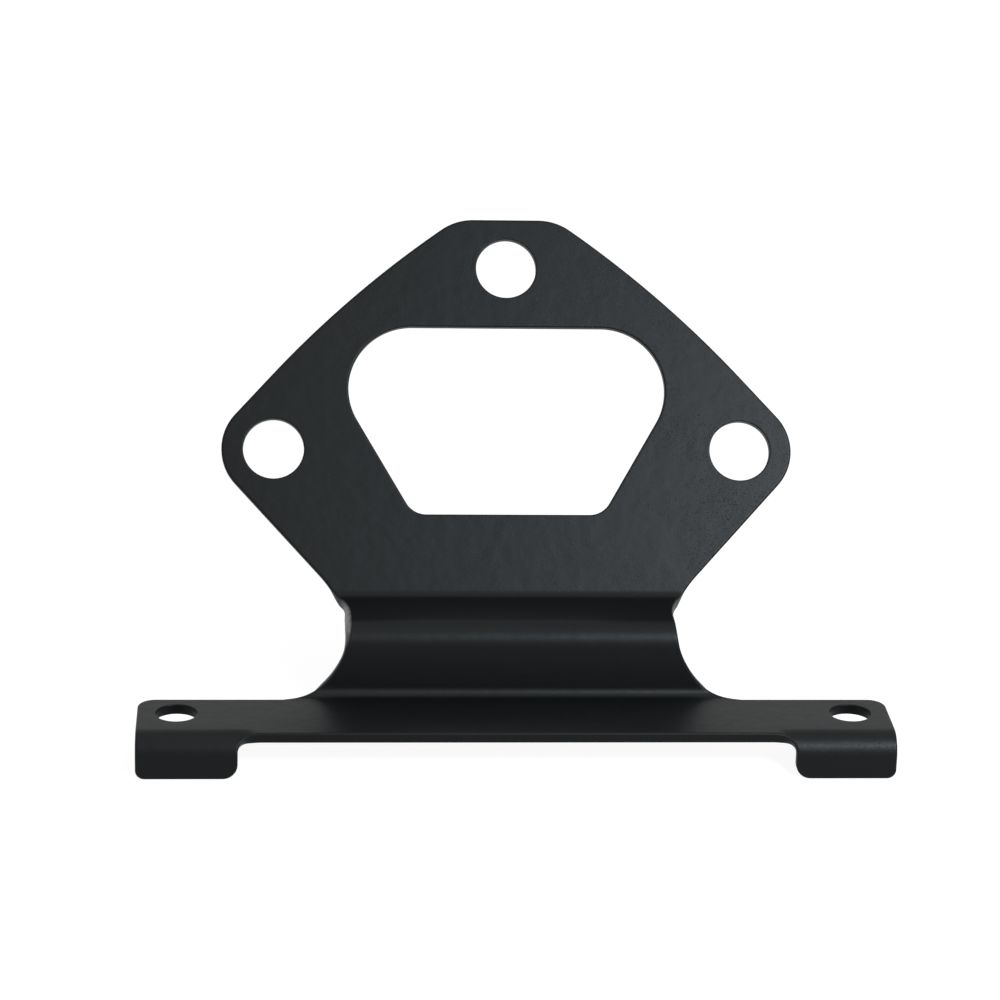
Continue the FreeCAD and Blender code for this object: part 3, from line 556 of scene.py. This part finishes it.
tabInside = bracket["overallWidth"] / 2 - bracket["tabWidth"]
foldSizes = {
    "Middle Radius": marks["middle"] * mm,
    "Plate Turn": marks["turn"],
    "Step Line": marks["stepLine"] * mm,
    "Step Radius": marks["stepMiddle"] * mm,
    "Step Turn": marks["stepTurn"],
    "Web Line": marks["webLine"] * mm,
    "Ledge Line": marks["ledgeLine"] * mm,
    "Tab Line": marks["tabLine"] * mm,
    "Tab Inside": tabInside * mm,
    "Fade Start": (tabInside - bracket["fade"]) * mm,
    "Back Line": bracket["shelfBack"] * mm,
    "Level": bracket["thickness"] / 2 * mm,
    "Thickness": bracket["thickness"] * mm,
    "Waist": bracket["waist"] / 2 * mm,
    "Swell Start": (bracket["waist"] / 2 - bracket["swellDepth"]) * mm,
    "Swell Line": (marks["webLine"] + marks["middle"] * bracket["swellPlace"]) * mm,
    "Swell Core": marks["middle"] * bracket["swellCore"] * mm,
    "Swell Reach": marks["middle"] * bracket["swellReach"] * mm,
    "Left Swell": bracket["leftSwell"] * mm,
    "Right Swell": bracket["rightSwell"] * mm,
}
blank = bpy.data.objects.new("blank", blankMesh)
bpy.context.collection.objects.link(blank)
tree, ids = foldTree(coat, foldSizes)
modifier = blank.modifiers.new("fold", "NODES")
modifier.node_group = tree
for name, value in foldSizes.items():
    modifier[ids[name]] = value
bpy.context.view_layer.update()
folded = bpy.data.meshes.new_from_object(blank.evaluated_get(bpy.context.evaluated_depsgraph_get()))
folded.name = "foldedBracket"
bpy.data.objects.remove(blank)
piece = bpy.data.objects.new("foldedBracket", folded)
bpy.context.collection.objects.link(piece)
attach(piece, "root")
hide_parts("headlamp_bracket")
print("folded", len(folded.vertices), "points", [m.name for m in folded.materials])

view = {
    "aim": (-0.003559, 0.0098, 0.043567),
    "distance": 0.69142,
    "azimuth": 4.045,           # degrees, the camera stands left of the middle
    "elevation": 19.866,
    "roll": 1.602,
    "lens": 126.0,
    "sensor": 36.0,
    "clipStart": 0.01,
}
azimuth, elevation, roll = [math.radians(view[k]) for k in ("azimuth", "elevation", "roll")]
forward = Vector((math.sin(azimuth) * math.cos(elevation), math.cos(azimuth) * math.cos(elevation),
                  -math.sin(elevation)))
level = Vector((math.cos(azimuth), -math.sin(azimuth), 0))
upright = level.cross(forward)
rightWay = level * math.cos(roll) + upright * math.sin(roll)
upWay = upright * math.cos(roll) - level * math.sin(roll)
cameraData = bpy.data.cameras.new("camera")
cameraData.lens = view["lens"]
cameraData.sensor_width = view["sensor"]
cameraData.clip_start = view["clipStart"]
camera = bpy.data.objects.new("camera", cameraData)
stand = Matrix.Translation(Vector(view["aim"]) - forward * view["distance"])
camera.matrix_world = stand @ Matrix((rightWay, upWay, -forward)).transposed().to_4x4()
bpy.context.collection.objects.link(camera)
bpy.context.scene.camera = camera
print("camera stands at", tuple(stand.translation))

studio = {
    "floorLevel": -0.0068,
    "floorReach": 3.0,
    "floorColour": "#e7e7e5",
    "floorKeep": 0.72,          # how much of the floor's own white the camera sees under the shadows
    "floorGlow": 1.28,
    "floorGloss": 0.75,         # the same white as the coat mirrors it, a little less than the camera sees
    "worldStrength": 0.35,
    "backdrop": 1.0,
}


def whiteShare(tree, glossyShare):
    # how much of the plain white a ray sees: all of it from the camera, some of it in a mirror
    rays = addNode(tree, "ShaderNodeLightPath").outputs
    glossy = addNode(tree, "ShaderNodeMath", {0: rays["Is Glossy Ray"], 1: glossyShare}, operation="MULTIPLY")
    both = addNode(tree, "ShaderNodeMath", {0: rays["Is Camera Ray"], 1: glossy}, operation="MAXIMUM")
    return addNode(tree, "ShaderNodeMath", {0: both, 1: rays["Is Transmission Ray"]}, operation="MAXIMUM")


reach = studio["floorReach"]
floorCorners = [(x * reach, y * reach, studio["floorLevel"]) for x, y in ((-1, -1), (1, -1), (1, 1), (-1, 1))]
floorMesh = bpy.data.meshes.new("floor")
floorMesh.from_pydata(floorCorners, [], [(0, 1, 2, 3)])
# Matt card, off-white: it takes a faint shadow and otherwise shows as plain pale ground.
card = bpy.data.materials.new("paleCard")
card.use_nodes = True
cardTree = card.node_tree
cardTree.nodes.clear()
matt = addNode(cardTree, "ShaderNodeBsdfDiffuse", {"Color": toLinear(studio["floorColour"])})
glow = addNode(cardTree, "ShaderNodeEmission", {"Color": toLinear("#ffffff"), "Strength": studio["floorGlow"]})
share = addNode(cardTree, "ShaderNodeMath", {0: whiteShare(cardTree, studio["floorGloss"]), 1: studio["floorKeep"]},
                operation="MULTIPLY")
mixed = addNode(cardTree, "ShaderNodeMixShader", {0: share, 1: matt, 2: glow})
addNode(cardTree, "ShaderNodeOutputMaterial", {"Surface": mixed})
floorMesh.materials.append(card)
floor = bpy.data.objects.new("floor", floorMesh)
bpy.context.collection.objects.link(floor)
print("floor laid")

world = bpy.data.worlds.new("studio")
world.use_nodes = True
worldTree = world.node_tree
worldTree.nodes.clear()
soft = addNode(worldTree, "ShaderNodeBackground", {
    "Color": toLinear("#ffffff"), "Strength": studio["worldStrength"]})
white = addNode(worldTree, "ShaderNodeBackground", {"Color": toLinear("#ffffff"), "Strength": studio["backdrop"]})
mixed = addNode(worldTree, "ShaderNodeMixShader", {0: whiteShare(worldTree, 1.0), 1: soft, 2: white})
addNode(worldTree, "ShaderNodeOutputWorld", {"Surface": mixed})
bpy.context.scene.world = world

# Softboxes round the bracket: degrees to the right of straight in front and degrees up, width and
# height in degrees as the bracket sees them, distance in metres, and how bright each face is.
lamps = {
    "key": {"around": 30, "above": 34, "wide": 15, "tall": 12, "away": 0.6, "bright": 51.0, "colour": "#e9f6ff"},
    "upperKey": {"around": 30, "above": 46, "wide": 15, "tall": 12, "away": 0.6, "bright": 9.5, "colour": "#e9f6ff"},
    "top": {"around": 0, "above": 84, "wide": 34, "tall": 30, "away": 1.3, "bright": 0.85, "colour": "#ffffff"},
}
middle = Vector((0, 0.02, 0.03))
for name, box in lamps.items():
    around, above, wide, tall = [math.radians(box[k]) for k in ("around", "above", "wide", "tall")]
    way = Vector((math.sin(around) * math.cos(above), -math.cos(around) * math.cos(above), math.sin(above)))
    lampData = bpy.data.lights.new(name, "AREA")
    lampData.shape = "RECTANGLE"
    lampData.size = 2 * box["away"] * math.tan(wide / 2)
    lampData.size_y = 2 * box["away"] * math.tan(tall / 2)
    lampData.energy = math.pi * lampData.size * lampData.size_y * box["bright"]
    lampData.color = toLinear(box["colour"])[:3]
    lamp = bpy.data.objects.new(name, lampData)
    lamp.location = middle + way * box["away"]
    lamp.rotation_euler = (-way).to_track_quat("-Z", "Y").to_euler()
    bpy.context.collection.objects.link(lamp)
print("lamps set", len(lamps))

bpy.context.scene.view_settings.view_transform = "Standard"
